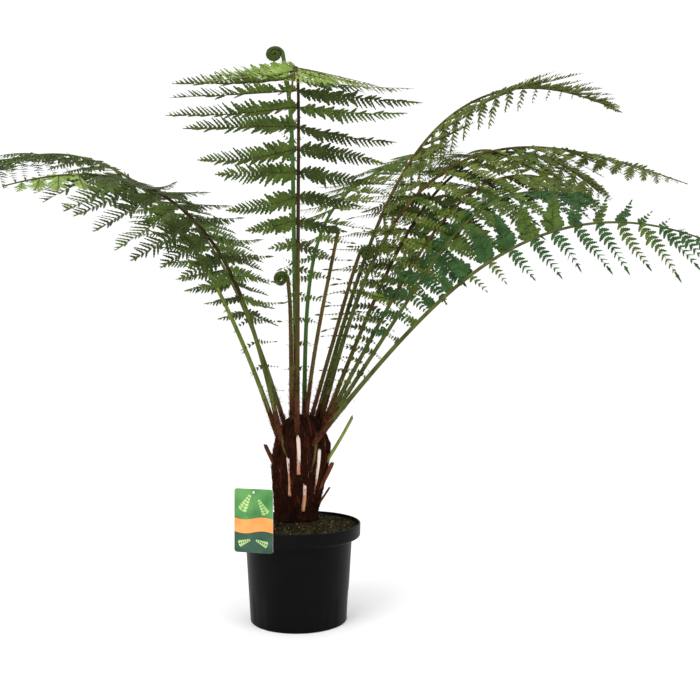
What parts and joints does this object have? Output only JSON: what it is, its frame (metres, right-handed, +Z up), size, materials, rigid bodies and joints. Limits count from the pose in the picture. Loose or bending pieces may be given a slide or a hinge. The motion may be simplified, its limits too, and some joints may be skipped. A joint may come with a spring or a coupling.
{
  "type": "potted tree fern",
  "caption": "Young tree fern in a round nursery pot: short shaggy trunk with cut stubs, long arching fronds, coiled croziers and a plant label on the rim.",
  "frame": {"origin": "centre of the pot's flat underside", "axes": "+Z up along the pot's axis; the picture looks along +Y, with +X to its right"},
  "size_m": [1.6202, 1.1002, 1.0984],
  "materials": {
    "pot": "satin",
    "soil": "matte",
    "trunk": "matte",
    "frond": "matte",
    "shoot": "matte",
    "label": "satin"
  },
  "bodies": {
    "root": {"pot": "pot", "soil": "soil", "trunk": "trunk", "frond_front_lower": "frond", "frond_front_upper": "frond", "frond_left_lower": "frond", "frond_left_upper": "frond", "frond_left_outer_lower": "frond", "frond_left_outer_upper": "frond", "frond_back_lower": "frond", "frond_back_upper": "frond", "frond_back_left_lower": "frond", "frond_back_left_upper": "frond", "frond_right_top_lower": "frond", "frond_right_top_upper": "frond", "frond_right_long_lower": "frond", "frond_right_long_upper": "frond", "frond_right_inner_lower": "frond", "frond_right_inner_upper": "frond", "frond_right_mid_lower": "frond", "frond_right_mid_upper": "frond", "frond_right_front_lower": "frond", "frond_right_front_upper": "frond", "frond_right_low_lower": "frond", "frond_right_low_upper": "frond", "frond_young": "shoot", "crozier_left": "shoot", "crozier_middle": "shoot", "crozier_right": "shoot", "plant_label": "label"}
  },
  "joints": []
}
